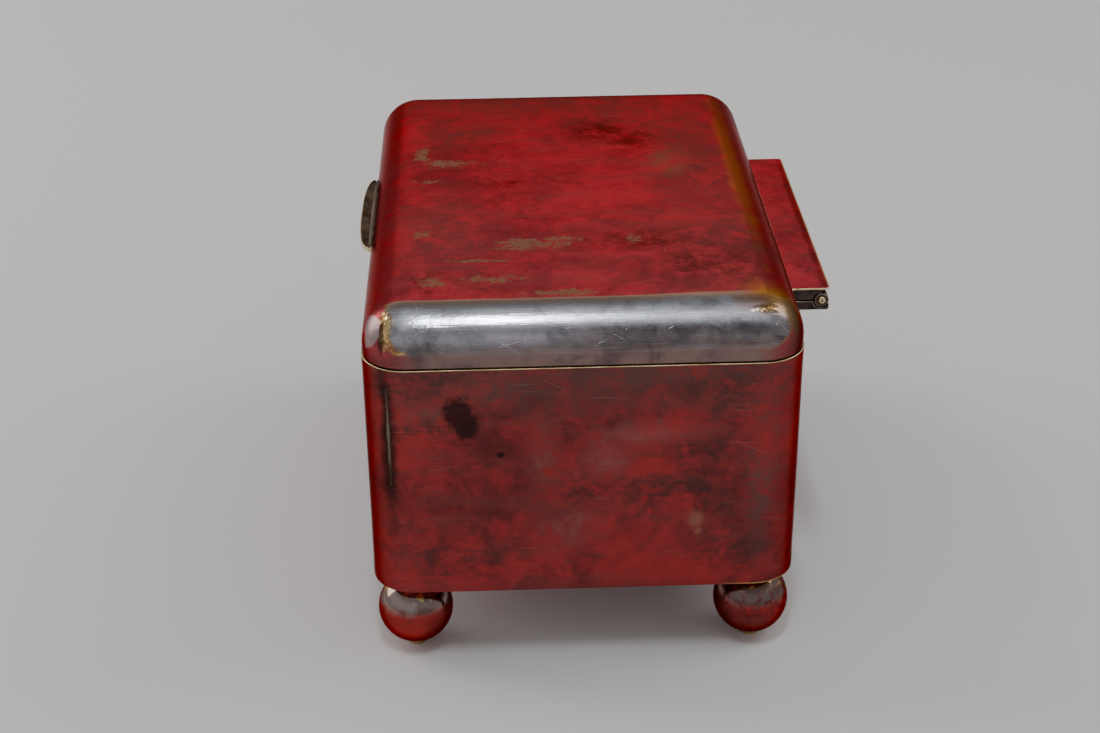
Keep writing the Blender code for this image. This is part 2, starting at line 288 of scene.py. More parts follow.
def wall_ring(inset, z):
    """The body's outline drawn in by inset."""
    half_y = WALL_HIGH.y - MIDDLE_Y
    return box_ring(WALL_HIGH.x - inset, half_y - inset, CORNER_RADIUS - inset, z)


def lid_ring(inset, z):
    """The lid's outline drawn in by inset."""
    corner = CORNER_RADIUS - (WALL_HIGH.x - LID_HIGH.x)
    half_y = LID_HIGH.y - MIDDLE_Y
    return box_ring(LID_HIGH.x - inset, half_y - inset, corner - inset, z)


def turned(profile, sides, place):
    """Rings round an axis through (radius, along) pairs; place takes points on Z to their place."""
    rings = []
    for radius, along in profile:
        angles = [2 * math.pi * side / sides for side in range(sides)]
        rings.append([place @ Vector((radius * math.cos(a), radius * math.sin(a), along)) for a in angles])
    return rings


def hollows(point):
    """Depth of the slight hollows of rubbed sheet at a point."""
    return WAVE_DEPTH * (0.5 + 0.5 * noise.noise(point / WAVE_SIZE))


def press_in(mesh, first, last, ends, dents=()):
    """Presses vertices first to last inwards into slight hollows and dents.

    The hollows fade out towards the heights in ends. A dent is (centre, radius, depth).
    """
    shape = bmesh.new()
    shape.from_mesh(mesh)
    shape.normal_update()
    shape.verts.ensure_lookup_table()
    shifts = []
    for index in range(first, last):
        vertex = shape.verts[index]
        fade = min(1, *(abs(vertex.co.z - end) / (4 * MM) for end in ends))
        depth = hollows(vertex.co) * fade
        for centre, radius, deep in dents:
            depth += deep * math.exp(-((vertex.co - centre).length / radius) ** 2)
        shifts.append((vertex, vertex.normal * depth))
    for vertex, shift in shifts:
        vertex.co -= shift
    shape.to_mesh(mesh)
    shape.free()


def refined(node_name, materials, width, arris=-1, edge_test=None):
    """A copy of a CAD node with its facets merged and its arrises rounded.

    The arrises may take a material of their own, as may the faces that edge_test(normal) picks.
    """
    mesh = frame["nodes"][node_name].data.copy()
    mesh.materials.clear()
    shape = bmesh.new()
    shape.from_mesh(mesh)
    bmesh.ops.remove_doubles(shape, verts=shape.verts, dist=0.001 * MM)
    bmesh.ops.dissolve_limit(
        shape,
        angle_limit=math.radians(1),
        verts=shape.verts,
        edges=shape.edges,
        use_dissolve_boundaries=False,
    )
    for face in shape.faces:
        face.material_index = 1 if edge_test and edge_test(face.normal) else 0
    shape.to_mesh(mesh)
    shape.free()
    piece = add_piece(node_name, mesh, materials)
    rounding = piece.modifiers.new("arrises", "BEVEL")
    rounding.width = width
    rounding.segments = 3
    rounding.limit_method = "ANGLE"
    rounding.angle_limit = ARRIS_ANGLE
    rounding.material = arris
    return piece


# ---------------------------------------------------------------- shader nodes


def node(tree, kind, settings=None, **values):
    """A shader node. A value may be a socket, which is linked; _3 names the fourth input."""
    made = tree.nodes.new("ShaderNode" + kind)
    for key, value in (settings or {}).items():
        setattr(made, key, value)
    for key, value in values.items():
        socket = made.inputs[int(key[1:])] if key[0] == "_" else made.inputs[key.replace("_", " ")]
        if isinstance(value, bpy.types.NodeSocket):
            tree.links.new(value, socket)
        else:
            socket.default_value = value
    return made


def maths(tree, operation, first, second=0.0):
    return node(tree, "Math", {"operation": operation}, _0=first, _1=second).outputs[0]


def times(tree, first, second):
    return maths(tree, "MULTIPLY", first, second)


def plus(tree, first, second):
    return maths(tree, "ADD", first, second)


def minus(tree, first, second):
    return maths(tree, "SUBTRACT", first, second)


def blend(tree, amount, first, second):
    """first where amount is 0, second where it is 1; both are colours or colour sockets."""
    return node(tree, "Mix", {"data_type": "RGBA"}, _0=amount, _6=first, _7=second).outputs[2]


def ease(tree, value, low, high, start=0.0, end=1.0):
    """start below low and end above high, with a smooth step between them."""
    settings = {"interpolation_type": "SMOOTHSTEP"}
    return node(tree, "MapRange", settings, _0=value, _1=low, _2=high, _3=start, _4=end).outputs[0]


def weighted(tree, terms):
    """The sum of (socket, weight) terms."""
    total = None
    for socket, weight in terms:
        part = times(tree, socket, weight)
        total = part if total is None else plus(tree, total, part)
    return total


def highest(tree, sockets):
    found = sockets[0]
    for other in sockets[1:]:
        found = maths(tree, "MAXIMUM", found, other)
    return found


def stretched(tree, place, size):
    """Coordinates in which one unit is size, given along X, Y and Z."""
    per_metre = tuple(1 / side for side in size)
    return node(tree, "VectorMath", {"operation": "MULTIPLY"}, _0=place, _1=per_metre).outputs[0]


def clouds(tree, place, size, detail=4.0, roughness=0.6, seed=0.0, distortion=0.0):
    """Noise round 0.5 in soft patches of a size, given as one length or along X, Y and Z."""
    size = size if isinstance(size, tuple) else (size,) * 3
    values = {"W": seed, "Scale": 1.0, "Detail": detail, "Roughness": roughness, "Distortion": distortion}
    vector = stretched(tree, place, size)
    return node(tree, "TexNoise", {"noise_dimensions": "4D"}, Vector=vector, **values).outputs[0]


def spot(tree, place, ragged, centre, radii, edge=0.3):
    """1 inside an ellipsoid and 0 outside it, with an edge made uneven by ragged noise."""
    off = node(tree, "VectorMath", {"operation": "SUBTRACT"}, _0=place, _1=tuple(centre)).outputs[0]
    far = node(tree, "VectorMath", {"operation": "LENGTH"}, _0=stretched(tree, off, radii)).outputs[1]
    far = plus(tree, far, times(tree, ragged, 2.0))
    return ease(tree, far, 2 - edge, 2 + edge, 1.0, 0.0)


def spots(tree, place, ragged, places, edge=0.3):
    return highest(tree, [spot(tree, place, ragged, centre, radii, edge) for centre, radii in places])


def unrolled(tree, place, normal):
    """Coordinates in the surface along the rubbing and across it, running on over the shoulders.

    The rubbing runs across the box, but along it on the long sides.
    """
    x, y, z = node(tree, "SeparateXYZ", _0=place).outputs
    face_y = node(tree, "SeparateXYZ", _0=normal).outputs[1]
    long_side = maths(tree, "GREATER_THAN", maths(tree, "ABSOLUTE", face_y), 0.7)
    along = node(tree, "Mix", {"data_type": "FLOAT"}, _0=long_side, _2=y, _3=x).outputs[0]
    out = node(tree, "Mix", {"data_type": "FLOAT"}, _0=long_side, _2=x, _3=y).outputs[0]
    apart = times(tree, maths(tree, "SIGN", out), 0.3)
    across = minus(tree, z, maths(tree, "ABSOLUTE", out))
    return node(tree, "CombineXYZ", _0=plus(tree, along, apart), _1=across).outputs[0]


def scratches(tree, surface, seed, angles):
    """Sparse longer scratches at angles in degrees to the rubbing."""
    found = []
    for turn, degrees in enumerate(angles):
        settings = {"rotation_type": "Z_AXIS"}
        aside = node(tree, "VectorRotate", settings, Vector=surface, Angle=math.radians(degrees)).outputs[0]
        lines = clouds(tree, aside, (14 * MM, 0.18 * MM, 1), detail=0, seed=seed + turn)
        found.append(ease(tree, lines, 0.77, 0.86))
    return highest(tree, found)


def specks(tree, place, pitch, radius, share):
    """Small dots, at most one to a cell of the pitch and only in a share of the cells."""
    cells = node(tree, "TexVoronoi", Vector=place, Scale=1 / pitch)
    near = ease(tree, cells.outputs["Distance"], radius / pitch * 0.6, radius / pitch, 1.0, 0.0)
    chosen = maths(tree, "LESS_THAN", node(tree, "SeparateXYZ", _0=cells.outputs["Color"]).outputs[0], share)
    return times(tree, near, chosen)


def new_material(name, metallic=1.0):
    """(material, node tree, shader, object coordinates, object normal)"""
    material = bpy.data.materials.new(name)
    material.use_nodes = True
    tree = material.node_tree
    shader = tree.nodes["Principled BSDF"]
    shader.inputs["Metallic"].default_value = metallic
    coordinates = tree.nodes.new("ShaderNodeTexCoord")
    return material, tree, shader, coordinates.outputs["Object"], coordinates.outputs["Normal"]


# ---------------------------------------------------------------- metals and wood


class Plate:
    """Silver plate under a red film of tarnish with a painted red reflection in it, built up from layers of
    colour, roughness and relief.
    """

    def __init__(self, name, seed, tones, rough=0.20):
        self.material, self.tree, self.shader, self.place, normal = new_material(name)
        # The grazing tint paints a red reflection at glancing angles.
        self.shader.inputs["Specular Tint"].default_value = GRAZING_TINT
        self.seed = seed
        self.ragged = self.clouds(3 * MM, 0, detail=6, roughness=0.7, distortion=0.6)
        self.soft = self.clouds(5 * MM, 0.5, detail=2)
        self.broad = self.clouds(30 * MM, 1, detail=3, distortion=0.8)
        self.middle = self.clouds(9 * MM, 2, detail=4, distortion=1.2)
        self.fine = self.clouds(1.6 * MM, 3)
        self.surface = unrolled(self.tree, self.place, normal)
        self.hair = clouds(self.tree, self.surface, (9 * MM, 0.2 * MM, 1), detail=1, seed=seed + 4)
        self.relief = [(self.hair, 0.3), (self.fine, 0.15), (self.middle, 1.2)]
        flecks = weighted(self.tree, ((self.middle, 0.50), (self.fine, 0.30), (self.hair, 0.20)))
        self.broken = ease(self.tree, flecks, 0.40, 0.60)
        self.lay_film_and_reflection(tones, rough)

    def clouds(self, size, offset, detail=4.0, roughness=0.6, distortion=0.0):
        return clouds(self.tree, self.place, size, detail, roughness, self.seed + offset, distortion)

    def lay_film_and_reflection(self, tones, rough):
        """The film: bright and dark clouds, with thinner streaks along the rubbing. Its red is tarnish and
        painted reflection.
        """
        bright, dark, thin = tones
        terms = ((self.broad, 0.36), (self.middle, 0.34), (self.fine, 0.16), (self.hair, 0.14))
        mottle = weighted(self.tree, terms)
        size = (24 * MM, 5 * MM, 1)
        streaks = clouds(self.tree, self.surface, size, 5, 0.65, self.seed + 6, 0.6)
        streaks = weighted(self.tree, ((streaks, 0.8), (self.hair, 0.2)))
        self.colour = blend(self.tree, ease(self.tree, mottle, 0.41, 0.62), bright, dark)
        self.paint(ease(self.tree, streaks, 0.44, 0.64), thin, 0.5)
        self.rough = ease(self.tree, mottle, 0.40, 0.62, rough, rough + 0.10)

    def paint(self, mask, colour, amount=1.0):
        mask = times(self.tree, mask, amount)
        self.colour = blend(self.tree, mask, self.colour, colour)

    def paint_spots(self, places, colour, amount, edge=0.8, broken=False):
        """Soft-edged patches; an edge near 0 makes them crisp. Broken ones let flecks show through."""
        noise_used = self.soft if edge > 0.5 else self.ragged
        mask = spots(self.tree, self.place, noise_used, places, edge)
        if broken:
            mask = times(self.tree, mask, self.broken)
        self.paint(mask, colour, amount)

    def paint_crust(self, places, colour, amount):
        """Patches that break up into crisp specks towards their edges."""
        near = spots(self.tree, self.place, self.soft, places, edge=0.9)
        grit = self.clouds(1.1 * MM, 8, detail=6, roughness=0.75)
        grains = weighted(self.tree, ((grit, 0.75), (self.hair, 0.25)))
        crust = weighted(self.tree, ((near, 0.22), (grains, 1.0)))
        crisp = ease(self.tree, crust, 0.66, 0.71)
        crust = times(self.tree, crisp, ease(self.tree, near, 0.0, 0.3))
        self.paint(crust, colour, amount)
        self.rough = plus(self.tree, self.rough, times(self.tree, crust, 0.25))

    def set_rough(self, mask, rough):
        mixed = node(self.tree, "Mix", {"data_type": "FLOAT"}, _0=mask, _2=self.rough, _3=rough)
        self.rough = mixed.outputs[0]

    def crinkle(self, places, size, height):
        """Small sharp bumps in patches."""
        mask = spots(self.tree, self.place, self.soft, places, edge=0.9)
        bumps = self.clouds(size, 12, detail=3, distortion=0.8)
        self.relief.append((times(self.tree, bumps, mask), height))

    def finished(self):
        """Adds the fine marks that run through every layer, and returns the material."""
        tree = self.tree
        patchy = ease(tree, self.clouds(12 * MM, 5), 0.44, 0.62)
        self.paint(times(tree, ease(tree, self.hair, 0.60, 0.74), patchy), SCRATCH, 0.13)
        long_marks = scratches(tree, self.surface, self.seed + 9, (3, -11, 27))
        self.paint(long_marks, SCRATCH, 0.15)
        self.paint(specks(tree, self.place, 7 * MM, 0.2 * MM, 0.12), SCRATCH, 0.4)
        pits = specks(tree, self.place, 3.4 * MM, 0.2 * MM, 0.2)
        self.paint(pits, BLOTCH_AND_DARK_REFLECTION, 0.5)
        relief = weighted(tree, self.relief + [(long_marks, -0.5), (pits, -0.8)])
        bump = node(tree, "Bump", Strength=1.0, Distance=0.007 * MM, Height=relief)
        tree.links.new(self.colour, self.shader.inputs["Base Color"])
        tree.links.new(self.rough, self.shader.inputs["Roughness"])
        tree.links.new(bump.outputs[0], self.shader.inputs["Normal"])
        return self.material


def plain_metal(name, colour, dark, roughness, size):
    """Bare or darkened metal, clouded and finely scratched."""
    material, tree, shader, place, _ = new_material(name)
    shader.inputs["Specular Tint"].default_value = METAL_TINT
    cloud = clouds(tree, place, size, detail=5)
    lines = clouds(tree, place, (6 * MM, 0.15 * MM, 0.15 * MM), detail=1)
    shade = weighted(tree, ((cloud, 0.7), (lines, 0.3)))
    tree.links.new(blend(tree, ease(tree, shade, 0.42, 0.62), colour, dark), shader.inputs["Base Color"])
    tree.links.new(ease(tree, cloud, 0.3, 0.7, roughness, roughness + 0.15), shader.inputs["Roughness"])
    bump = node(tree, "Bump", Strength=0.2, Distance=0.02 * MM, Height=shade)
    tree.links.new(bump.outputs[0], shader.inputs["Normal"])
    return material


def cedar(name, along):
    """Planed cedar with its grain along an axis."""
    material, tree, shader, place, _ = new_material(name, metallic=0.0)
    grain = [CEDAR_GRAIN_WIDTH] * 3
    grain["XYZ".index(along)] = CEDAR_GRAIN_LENGTH
    rings = clouds(tree, place, tuple(grain), detail=4, roughness=0.6, distortion=0.4)
    pores = clouds(tree, place, tuple(side / 6 for side in grain), detail=2, seed=4)
    tint = clouds(tree, place, 26 * MM, seed=9)
    colour = blend(tree, ease(tree, rings, 0.36, 0.64), CEDAR_LIGHT, CEDAR_DARK)
    colour = blend(tree, ease(tree, tint, 0.4, 0.7, 0.0, 0.4), colour, CEDAR_PALE)
    colour = blend(tree, ease(tree, pores, 0.62, 0.74, 0.0, 0.55), colour, CEDAR_PORE)
    tree.links.new(colour, shader.inputs["Base Color"])
    tree.links.new(ease(tree, rings, 0.3, 0.7, 0.62, 0.5), shader.inputs["Roughness"])
    bump = node(tree, "Bump", Strength=0.35, Distance=0.05 * MM, Height=pores)
    tree.links.new(bump.outputs[0], shader.inputs["Normal"])
    return material


# ---------------------------------------------------------------- where the metal is worn


def on_top(*patches):
    """Spots on the lid's flat top, each (x, y, reach along x, reach along y) in mm."""
    return [((x * MM, y * MM, LID_HIGH.z), (a * MM, b * MM, TOP_DEPTH)) for x, y, a, b in patches]


def on_end(*patches, deep=END_DEPTH):
    """Spots on the body's near end, each (y, z, reach along y, reach along z) in mm."""
    return [((WALL_HIGH.x, y * MM, z * MM), (deep, a * MM, b * MM)) for y, z, a, b in patches]


def at_corner(corner_y, *patches):
    """Spots by a near corner of the lid's flat top: the offset from it, then the radii, in mm."""
    found = []
    for x, y, z, *radii in patches:
        place = (FLAT_X + x * MM, corner_y + y * MM, LID_HIGH.z + z * MM)
        found.append((place, tuple(radius * MM for radius in radii)))
    return found


def field_edge(plate):
    """(distance into an end's rounded outline of rubbed metal, the distance at which it ends)"""
    tree = plate.tree
    y, z = node(tree, "SeparateXYZ", _0=plate.place).outputs[1:]
    rounding = 6 * MM
    aside = maths(tree, "ABSOLUTE", minus(tree, y, MIDDLE_Y + 1.4 * MM))
    out = maths(tree, "MAXIMUM", minus(tree, aside, FLAT_Y + 5.0 * MM - rounding), 0.0)
    down = maths(tree, "MAXIMUM", minus(tree, SHOULDER_Z + 0.7 * MM + rounding, z), 0.0)
    corner = node(tree, "CombineXYZ", _0=out, _1=down).outputs[0]
    edge = node(tree, "VectorMath", {"operation": "LENGTH"}, _0=corner).outputs[1]
    wobble = times(tree, minus(tree, plate.ragged, 0.5), 1.2 * MM)
    return plus(tree, edge, wobble), rounding


def end_masks(plate, wobble):
    """(uneven distance along x, mask of the near shoulder, mask of both shoulders)

    The far end is rubbed only lower on its shoulder.
    """
    tree = plate.tree
    x, y = node(tree, "SeparateXYZ", _0=plate.place).outputs[:2]
    near_x = plus(tree, x, times(tree, wobble, 0.25))
    spread = times(tree, ease(tree, y, 0.0, 30 * MM), plate.soft)
    near_x = plus(tree, near_x, times(tree, spread, 2 * MM))
    near = ease(tree, near_x, FLAT_X - 0.2 * MM, FLAT_X + 0.5 * MM)
    far = ease(tree, minus(tree, wobble, x), FLAT_X + 4 * MM, FLAT_X + 6.5 * MM)
    return near_x, near, maths(tree, "MAXIMUM", near, far)


def shoulder_tones(plate, near_x, height, smudge):
    """(colour of the rubbed silver, the mauve colour below it)

    The silver is olive at its upper edge, paler on the left and dimmer on the right lower down, and mauve at
    the bottom. Below the olive edge these bands by height and side are painted reflection.
    """
    tree = plate.tree
    y = node(tree, "SeparateXYZ", _0=plate.place).outputs[1]
    cloudy = ease(tree, plate.middle, 0.40, 0.68)
    # Painted reflection: the mauve band at the bottom of the shoulder and below it.
    dull = blend(tree, cloudy, MAUVE, MAUVE_DARK)
    side = ease(tree, y, MIDDLE_Y - 16 * MM, MIDDLE_Y + 8 * MM)
    # Painted reflection: the middle band, paler on the left and dimmer on the right.
    dim_reflection = blend(tree, cloudy, DIM_REFLECTION, DIM_REFLECTION_DARK)
    middle_reflection = blend(tree, side, blend(tree, cloudy, PALE_REFLECTION, PALE_REFLECTION_DARK), dim_reflection)
    silver = blend(tree, ease(tree, smudge, 0.43, 0.62), SILVER, SILVER_DULL)
    upper = ease(tree, near_x, FLAT_X + 0.8 * MM, FLAT_X + 3.6 * MM, 1.0, 0.0)
    silver = blend(tree, upper, silver, OLIVE)
    middling = ease(tree, height, SHOULDER_Z + 4.6 * MM, SHOULDER_Z + 6.4 * MM, 1.0, 0.0)
    low = ease(tree, height, SHOULDER_Z + 0.5 * MM, SHOULDER_Z + 5.0 * MM, 1.0, 0.0)
    silver = blend(tree, low, blend(tree, middling, silver, middle_reflection), dull)
    silver = blend(tree, ease(tree, plate.hair, 0.44, 0.64, 0.0, 0.5), silver, SILVER_DULL)
    return silver, dull


def rub_ends(plate):
    """Silver rubbed clean on the end shoulders, with a worn line round the corners of its field. Bands of
    painted reflection run through the silver and below it.
    """
    tree = plate.tree
    y, z = node(tree, "SeparateXYZ", _0=plate.place).outputs[1:]
    wobble = times(tree, minus(tree, plate.ragged, 0.5), 3 * MM)
    near_x, near, ends = end_masks(plate, wobble)
    edge, rounding = field_edge(plate)
    field = ease(tree, edge, rounding - 0.5 * MM, rounding + 0.5 * MM, 1.0, 0.0)
    field = times(tree, field, ends)
    aside = maths(tree, "ABSOLUTE", minus(tree, y, MIDDLE_Y + 1 * MM))
    height = plus(tree, z, wobble)
    below = ease(tree, height, SHOULDER_Z + 1 * MM, SHOULDER_Z + 3 * MM, 1.0, 0.0)
    below = times(tree, below, ends)
    below = times(tree, below, ease(tree, aside, FLAT_Y - 4 * MM, FLAT_Y + 4 * MM, 1.0, 0.0))
    smudge = weighted(tree, ((plate.middle, 0.60), (plate.fine, 0.20), (plate.hair, 0.20)))
    silver, dull = shoulder_tones(plate, near_x, height, smudge)
    # Painted reflection: the mauve band below the rubbed field.
    plate.paint(below, dull, 0.9)
    plate.set_rough(below, 0.20)
    plate.paint(field, silver)
    gloss = ease(tree, smudge, 0.42, 0.62, 0.11, 0.21)
    plate.set_rough(field, plus(tree, gloss, ease(tree, plate.hair, 0.46, 0.62, 0.0, 0.12)))
    rubs = times(tree, scratches(tree, plate.surface, plate.seed + 20, (6, -17, 38, -33, 71)), field)
    plate.relief.append((times(tree, plate.hair, field), 2.2))
    plate.paint(rubs, RUB, 0.35)
    plate.relief.append((rubs, -4.5))
    away = maths(tree, "ABSOLUTE", minus(tree, edge, rounding))
    line = ease(tree, away, 0.1 * MM, 0.45 * MM, 1.0, 0.0)
    corners = ease(tree, aside, FLAT_Y - 3 * MM, FLAT_Y + 1 * MM)
    line = times(tree, times(tree, line, corners), near)
    plate.paint(times(tree, line, ease(tree, plate.ragged, 0.40, 0.54)), BRASS_DULL, 0.55)


def wear_lid_corners(plate):
    """A painted window reflection and crumpled brass on the near corner, amber and brass on the hinge
    corner. Painted shade lies low on the near shoulder and on the hinge corner, and a painted highlight runs
    along the top edge of the +Y side.
    """
    tree = plate.tree
    top = LID_HIGH.z
    right = MIDDLE_Y + FLAT_Y
    left = MIDDLE_Y - FLAT_Y
    brass = at_corner(
        left,
        (4.6, -3.6, -2.6, 2.4, 1.3, 2.6),
        (5.8, -3.6, -5.2, 2.2, 1.0, 3.0),
        (7.0, -2.6, -6.6, 1.2, 0.9, 0.9),
        (7.8, -0.8, -7.5, 1.2, 1.6, 0.45),
    )
    brass += at_corner(right, (4.6, 0.4, -1.5, 0.8, 1.9, 0.6))
    ochre = at_corner(right, (1.2, 3.4, -0.9, 3.6, 4.6, 2.6), (4.2, 6.0, -3.6, 1.6, 1.3, 3.0))
    # Painted shade: a dark patch low on the hinge corner.
    corner_shade_place = (FLAT_X + 4.2 * MM, right + 7.2 * MM, SHOULDER_Z + 1.8 * MM)
    corner_shade = ((corner_shade_place, (2.6 * MM, 1.7 * MM, 4.5 * MM)),)
    # Painted highlight: the first amber spot is a long strip along the top edge of the +Y side; the corner
    # spots are wear.
    amber = [((-14 * MM, right + 2.6 * MM, top - 0.4 * MM), (40 * MM, 1.7 * MM, 2.0 * MM))]
    amber += at_corner(right, (0.5, 1.5, -0.5, 5.0, 5.0, 3), (2.5, 5.5, -2.5, 3.0, 2.0, 3))
    # Painted shade: dark patches low on the near shoulder.
    shoulder_shade = at_corner(left, (7.6, 3.0, -6.0, 2.6, 4.5, 2.6))
    shoulder_shade += at_corner(0, (7.4, 12, -4.8, 2.2, 7, 2.0), (7.4, 26, -4.8, 2.2, 5, 2.0))
    plate.paint_spots(shoulder_shade, SHOULDER_SHADE, 0.8, broken=True)
    plate.paint_spots(amber, AMBER_AND_SHEEN, 0.85)
    plate.paint_spots(ochre, OCHRE, 0.85, edge=0.7)
    plate.paint_spots(corner_shade, CORNER_SHADE, 0.85)
    # Painted shade that dims a lamp's glint on the hinge corner, which is made rougher too.
    glint_shade = at_corner(right, (3.0, 5.2, -2.2, 3.0, 2.2, 2.6))
    plate.paint_spots(glint_shade, GLINT_SHADE, 0.88)
    plate.set_rough(spots(tree, plate.place, plate.soft, glint_shade, 0.8), 0.32)
    tarnished = blend(tree, ease(tree, plate.fine, 0.40, 0.56), BRASS, BRASS_DULL)
    plate.paint_spots(brass, tarnished, 0.85, edge=0.5)
    plate.set_rough(spots(tree, plate.place, plate.soft, brass, 0.9), 0.07)
    plate.crinkle(brass, 2.2 * MM, 60)
    plate.crinkle(at_corner(left, (4, 4, -2.5, 3, 9, 3)), 1.0 * MM, 9)
    crease_place = (FLAT_X + 4.8 * MM, left - 4.6 * MM, SHOULDER_Z + 4.2 * MM)
    crease = ((crease_place, (4.0 * MM, 0.6 * MM, 4.4 * MM)),)
    plate.paint_spots(crease, BLOTCH_AND_DARK_REFLECTION, 0.75, edge=0.4)
    # Painted reflection: a pinkish window reflection on the near corner, made rough so it stays even.
    centre = (FLAT_X + 4.0 * MM, left - 6.6 * MM, SHOULDER_Z + 5.3 * MM)
    radii = (3.6 * MM, 1.9 * MM, 4.0 * MM)
    lens = spot(tree, plate.place, plate.soft, centre, radii, edge=0.12)
    plate.paint(lens, WINDOW_REFLECTION)
    plate.set_rough(lens, 0.34)


def lid_metal():
    plate = Plate("lid_plate", 1.0, LID_FILM_AND_REFLECTION)
    tree = plate.tree
    browned = on_top(
        (-54, -3, 14, 46),
        (-22, 27, 40, 11),
        (34, 26, 30, 12),
        (-34, -30, 10, 10),
        (26, -30, 16, 9),
    )
    plate.paint_spots(browned, BROWN, 0.5)
    plate.paint_spots(browned, BROWN_FLECKS, 0.55, broken=True)
    shadows = on_top(
        (-34, 6, 5, 6),
        (-26, 13, 6, 5),
        (-2, -18, 2, 4),
        (44, 24, 9, 9),
        (50, -33, 6, 5),
        (30, 12, 4, 9),
    )
    plate.paint_spots(shadows, SHADE, 0.6, broken=True)
    z = node(tree, "SeparateXYZ", _0=plate.place).outputs[2]
    height = plus(tree, z, times(tree, plate.ragged, 2 * MM))
    plate.paint(ease(tree, height, LID_LOW.z + 1 * MM, SHOULDER_Z + 5 * MM, 1.0, 0.0), SHADE, 0.6)
    stains = on_top(
        (31, -14, 3.4, 9),
        (29, -7, 2.4, 5),
        (25, -36, 2, 2.5),
        (39, -25, 1.2, 9),
        (48, -20, 2.0, 9),
        (49, -33, 2.4, 4),
        (55.0, -7, 1.8, 10),
        (29, 9, 3.0, 2),
        (-21, -37, 6, 2),
        (-15, -30, 2.4, 8),
        (-4, -35, 1.8, 4),
    )
    plate.paint_spots(on_top((-14, 20, 7, 4)), STAIN, 0.35, broken=True)
    plate.paint_crust(stains, STAIN, 0.9)
    rub_ends(plate)
    wear_lid_corners(plate)
    return plate.finished()


def mark_wall_end(plate):
    """The marks on the body's near end face: painted reflection where it is pale, dark, grey or red and
    painted shade over its top, with blotches and a worn spot of its own.
    """
    dark = on_end(
        (-40, 68, 13, 6),
        (-35, 57, 5, 3),
        (-32, 27, 12, 6),
        (-7, 43, 6, 4),
        (20, 51, 8, 4),
        (15, 40, 12, 5),
        (27, 27, 6, 4),
        (25, 64, 9, 4),
    )
    grey = on_end(
        (-22, 66.5, 9, 3),
        (33, 46, 2.6, 18),
        (6, 68.5, 20, 1.8),
    )
    pale = on_end(
        (-11.5, 48, 3.2, 9),
        (1, 50, 4, 4.5),
        (-36, 61, 5, 2.6),
        (10, 55, 11, 2.4),
        (-6, 33, 7, 3),
    )
    # Painted reflection: the grey and pale patches.
    plate.paint_spots(grey, GREY, 0.7, broken=True)
    plate.paint_spots(pale, PALE, 0.45, broken=True)
    # Painted shade: the end face's darker top.
    top_shade = on_end((-3, 69, 60, 8))
    plate.paint_spots(top_shade, TOP_SHADE, 0.35)
    plate.paint_spots(top_shade, TOP_SHADE, 0.5, broken=True)
    # Painted shade in the dark patches, then a painted red reflection.
    plate.paint_spots(dark, SHADE, 0.75, broken=True)
    plate.paint_spots(on_end((15, 22, 10, 4)), RED_REFLECTION, 0.35)
    worn = on_end((20, 34, 1.5, 1.8), (20.5, 31.5, 0.8, 1.0), deep=2 * MM)
    plate.paint_spots(worn, COPPERY, 0.5)
    blotches = on_end((-28.6, 60.4, 2.9, 3.9), (-27, 58, 2.6, 3.4), deep=3 * MM)
    blotches += on_end((-20.4, 51, 0.7, 0.6), deep=2 * MM)
    plate.paint_spots(blotches, BLOTCH_AND_DARK_REFLECTION, 0.88, edge=0.35)


def mark_wall_corner(plate):
    """A painted dark reflection line down the near corner with a painted light reflection line beside it."""
    corner_x = WALL_HIGH.x - CORNER_RADIUS
    corner_y = WALL_LOW.y + CORNER_RADIUS
    # Both lines are painted reflections: a dark one and a light one.
    for turn, radii, colour, amount in (
        (28, (1.5 * MM, 1.5 * MM, 17 * MM), BLOTCH_AND_DARK_REFLECTION, 0.92),
        (27, (0.30 * MM, 0.30 * MM, 7 * MM), CORNER_LINE, 0.5),
    ):
        angle = math.radians(turn)
        x = corner_x + CORNER_RADIUS * math.cos(angle)
        place = (x, corner_y - CORNER_RADIUS * math.sin(angle), 56 * MM)
        plate.paint_spots(((place, radii),), colour, amount, edge=0.7)


def wall_metal():
    plate = Plate("wall_plate", 21.0, WALL_FILM_AND_REFLECTION)
    mark_wall_end(plate)
    mark_wall_corner(plate)
    y, z = node(plate.tree, "SeparateXYZ", _0=plate.place).outputs[1:]
    foot = ease(plate.tree, z, WALL_LOW.z + 0.15 * MM, WALL_LOW.z + 0.4 * MM, 1.0, 0.0)
    corner = ease(plate.tree, y, MIDDLE_Y + FLAT_Y - 9 * MM, MIDDLE_Y + FLAT_Y)
    plate.paint(times(plate.tree, foot, corner), BRASS, 0.7)
    return plate.finished()


def cover_metal():
    """The hinge plate, darker along its outer edge, which is worn to the brass."""
    plate = Plate("cover_plate", 41.0, LID_FILM_AND_REFLECTION)
    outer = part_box("hinge_cover_plate")[1]
    line = ((0, outer.y - 1.0 * MM, outer.z), (40 * MM, 0.7 * MM, 1 * MM))
    plate.paint_spots((line,), SHADE, 0.6)
    y = node(plate.tree, "SeparateXYZ", _0=plate.place).outputs[1]
    y = plus(plate.tree, y, times(plate.tree, plate.ragged, 0.14 * MM))
    plate.paint(ease(plate.tree, y, outer.y - 0.30 * MM, outer.y - 0.05 * MM), BRASS, 0.85)
    return plate.finished()


